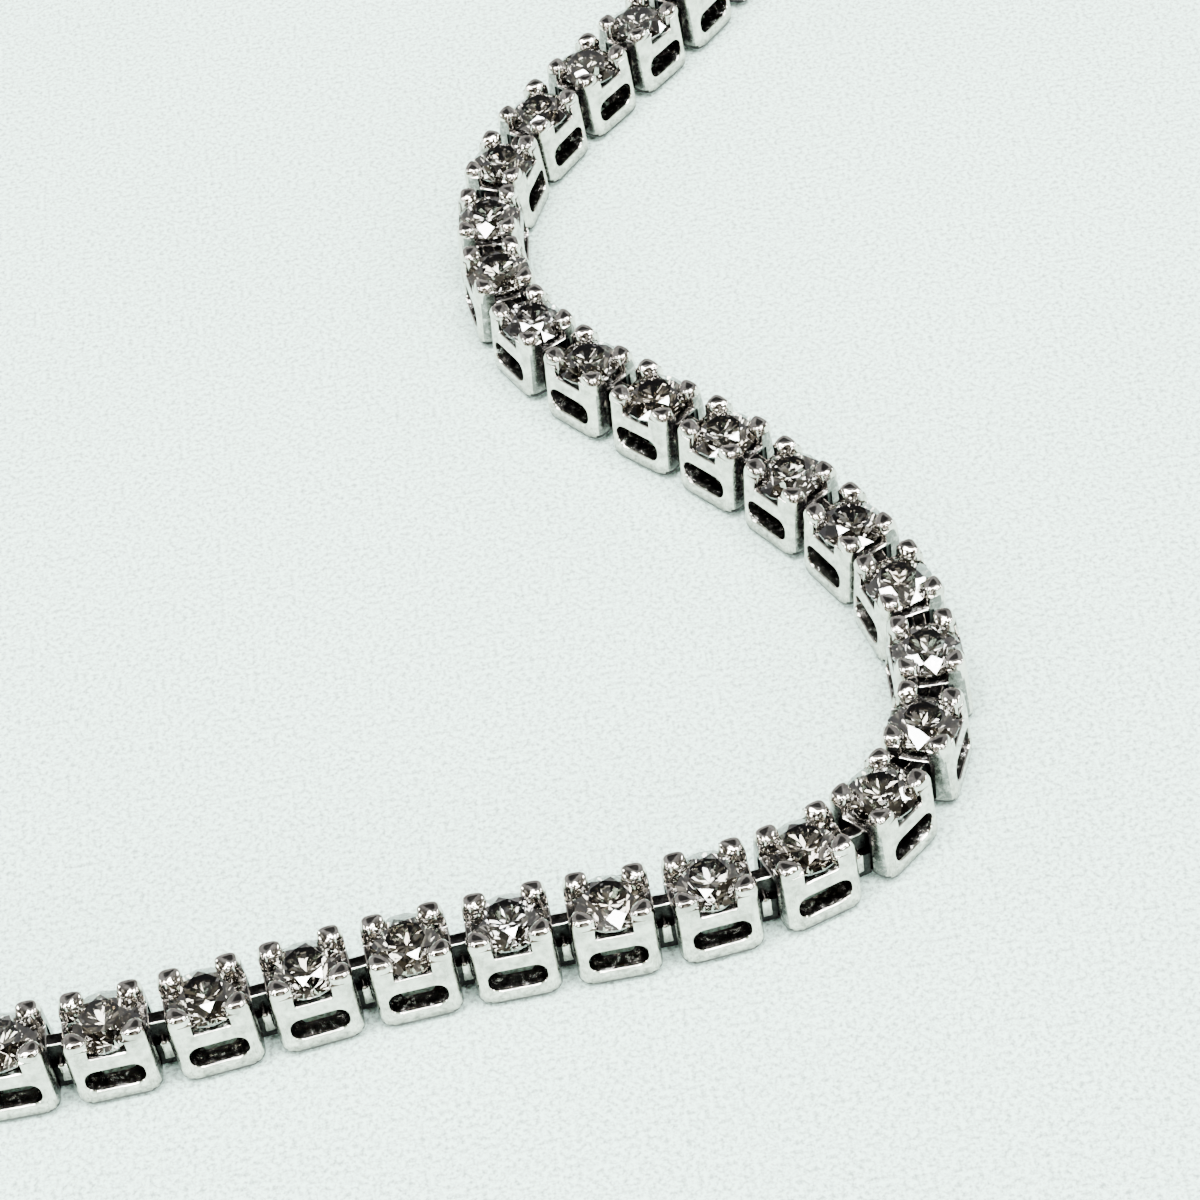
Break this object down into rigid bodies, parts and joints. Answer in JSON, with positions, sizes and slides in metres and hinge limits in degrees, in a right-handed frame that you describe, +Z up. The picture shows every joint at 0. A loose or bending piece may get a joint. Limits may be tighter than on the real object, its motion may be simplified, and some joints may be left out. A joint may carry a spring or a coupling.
{
  "type": "tennis bracelet",
  "caption": "Flexible bracelet of small square cast settings, each holding a round brilliant between four claws, closed by a plain box clasp and lying in a loose bent loop.",
  "frame": {"origin": "centre of the loop in plan, on the surface that the settings lie on", "axes": "+Z up, from the settings' undersides to their stones; X across the loop and Y along it"},
  "size_m": [0.0456, 0.0618, 0.0027],
  "materials": {
    "white_gold": "polished",
    "brilliant": "faceted and polished"
  },
  "bodies": {
    "root": {"link_row_front": "white_gold", "link_row_back": "white_gold", "clasp": "white_gold"}
  },
  "joints": []
}
